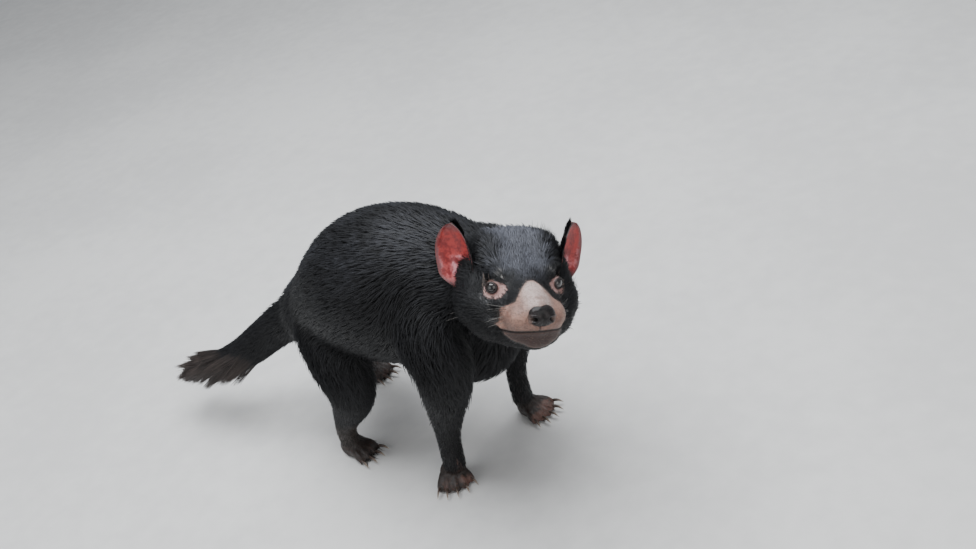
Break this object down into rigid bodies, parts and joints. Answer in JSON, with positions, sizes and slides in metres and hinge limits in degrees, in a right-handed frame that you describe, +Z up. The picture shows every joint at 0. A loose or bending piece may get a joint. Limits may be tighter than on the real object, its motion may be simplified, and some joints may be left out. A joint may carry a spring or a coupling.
{
  "type": "tasmanian devil",
  "caption": "Life-size still tasmanian devil, standing on all fours with its head raised and turned to its right, ears cupped, bristly tail held out behind.",
  "frame": {"origin": "on the floor, under the middle of the animal's bounding box", "axes": "+X from tail to head along the body, +Y to the animal's left, +Z up from the floor"},
  "size_m": [0.606, 0.1817, 0.3042],
  "materials": {
    "coat": "dense short black fur",
    "tail_hair": "coarse dark brown hair",
    "ear_skin": "thin bare reddish skin",
    "paw_skin": "rough dark skin with sparse hair",
    "nose_leather": "moist black nose",
    "eye": "wet dark brown eyeball",
    "claw_horn": "worn horn"
  },
  "bodies": {
    "root": {"torso": "coat", "neck": "coat", "head": "coat", "tail_base": "coat", "tail_tip": "tail_hair", "fore_leg_left": "coat", "fore_paw_left": "paw_skin", "fore_leg_right": "coat", "fore_paw_right": "paw_skin", "hind_leg_left": "coat", "hind_paw_left": "paw_skin", "hind_leg_right": "coat", "hind_paw_right": "paw_skin", "ear_left": "ear_skin", "eye_left": "eye", "ear_right": "ear_skin", "eye_right": "eye", "nose": "nose_leather", "claw_fore_left_1": "claw_horn", "claw_fore_left_2": "claw_horn", "claw_fore_left_3": "claw_horn", "claw_fore_left_4": "claw_horn", "claw_fore_left_5": "claw_horn", "claw_fore_right_1": "claw_horn", "claw_fore_right_2": "claw_horn", "claw_fore_right_3": "claw_horn", "claw_fore_right_4": "claw_horn", "claw_fore_right_5": "claw_horn", "claw_hind_left_1": "claw_horn", "claw_hind_left_2": "claw_horn", "claw_hind_left_3": "claw_horn", "claw_hind_left_4": "claw_horn", "claw_hind_right_1": "claw_horn", "claw_hind_right_2": "claw_horn", "claw_hind_right_3": "claw_horn", "claw_hind_right_4": "claw_horn"}
  },
  "joints": []
}
